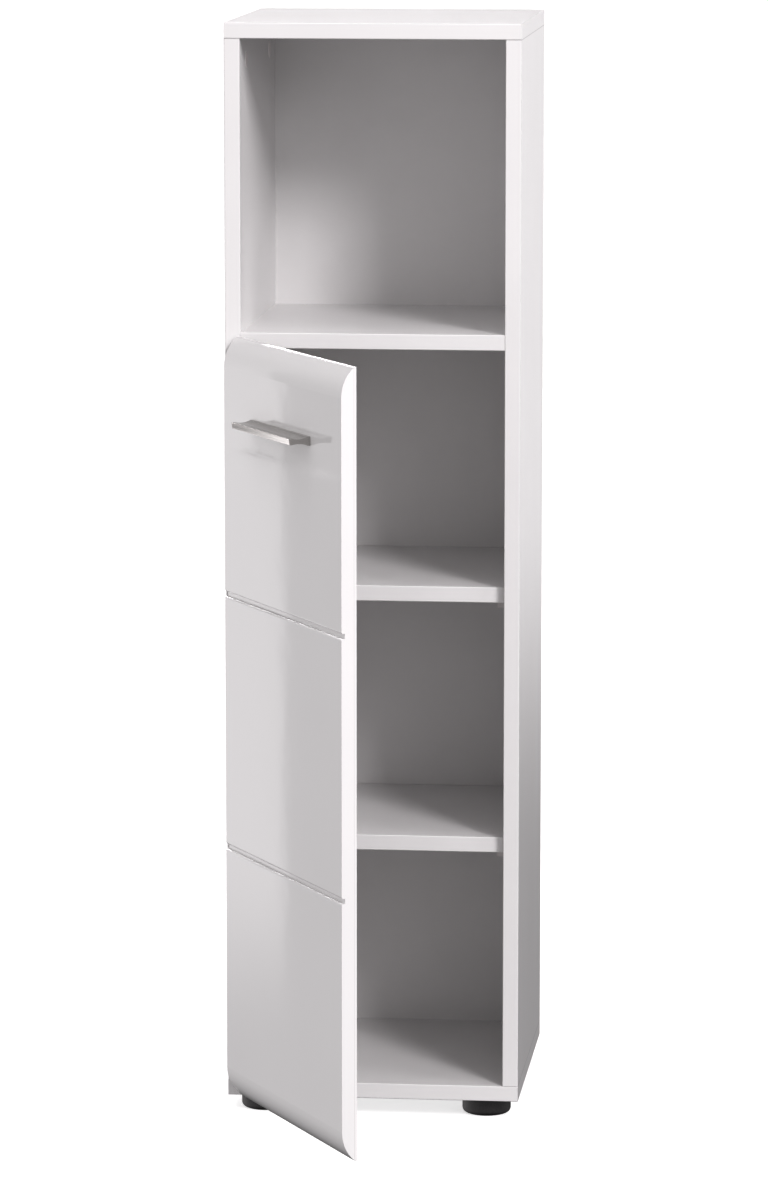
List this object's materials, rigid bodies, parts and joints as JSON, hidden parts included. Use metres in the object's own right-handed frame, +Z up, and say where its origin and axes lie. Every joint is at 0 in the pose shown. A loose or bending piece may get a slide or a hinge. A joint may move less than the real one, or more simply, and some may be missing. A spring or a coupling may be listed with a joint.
{
  "type": "bathroom cabinet",
  "caption": "Tall narrow bathroom cabinet with an open niche above a shelved closet, a grooved side-hung door with a bar handle, and round feet.",
  "frame": {"origin": "on the floor, in the middle of the box round the cabinet with its door standing open", "axes": "+X to the cabinet's right as seen from the front, +Y to its back, +Z up"},
  "size_m": [0.3, 0.5656, 1.123],
  "materials": {
    "melamine_board": "satin white melamine on chipboard",
    "door_lacquer": "gloss white foil on fibreboard",
    "hardboard": "white-faced hardboard",
    "beech": "raw beech",
    "black_plastic": "satin black",
    "white_plastic": "satin white",
    "clear_bumper": "soft, milky",
    "brushed_nickel": "brushed",
    "nickel_plate": "satin nickel plate",
    "spring_steel": "bright",
    "zinc_alloy": "cast, dull",
    "zinc_screw": "zinc-plated"
  },
  "bodies": {
    "carcass": {"left_side": "melamine_board", "right_side": "melamine_board", "top_panel": "melamine_board", "bottom_panel": "melamine_board", "fixed_shelf": "melamine_board", "lower_shelf": "melamine_board", "upper_shelf": "melamine_board", "back_panel": "hardboard", "front_left_foot": "black_plastic", "front_right_foot": "black_plastic", "rear_left_foot": "black_plastic", "rear_right_foot": "black_plastic", "foot_screws": "zinc_screw", "top_cam_bolts": "zinc_screw", "bottom_cam_bolts": "zinc_screw", "shelf_cam_bolts": "zinc_screw", "upper_hinge_plate_screws": "zinc_screw", "upper_hinge_arm_screws": "zinc_screw", "lower_hinge_plate_screws": "zinc_screw", "lower_hinge_arm_screws": "zinc_screw", "top_cams": "zinc_alloy", "bottom_cams": "zinc_alloy", "shelf_cams": "zinc_alloy", "top_cam_caps": "white_plastic", "bottom_cam_caps": "white_plastic", "shelf_cam_caps": "white_plastic", "lower_shelf_supports": "white_plastic", "upper_shelf_supports": "white_plastic", "top_dowels": "beech", "bottom_dowels": "beech", "shelf_dowels": "beech", "upper_hinge_arm": "nickel_plate", "upper_hinge_plate": "nickel_plate", "lower_hinge_arm": "nickel_plate", "lower_hinge_plate": "nickel_plate"},
    "door": {"door_panel": "door_lacquer", "handle": "brushed_nickel", "handle_screws": "zinc_screw", "door_bumpers": "clear_bumper", "upper_hinge_cup": "nickel_plate", "upper_hinge_pivot": "spring_steel", "upper_hinge_spring": "spring_steel", "upper_hinge_cup_screws": "zinc_screw", "lower_hinge_cup": "nickel_plate", "lower_hinge_pivot": "spring_steel", "lower_hinge_spring": "spring_steel", "lower_hinge_cup_screws": "zinc_screw"}
  },
  "joints": [
    {"name": "door_swing", "type": "hinge", "parent": "carcass", "child": "door", "pos_m": [-0.14, -0.02994, 0.414], "axis": [0, 0, -1], "range_deg": [-60, 40]}
  ]
}
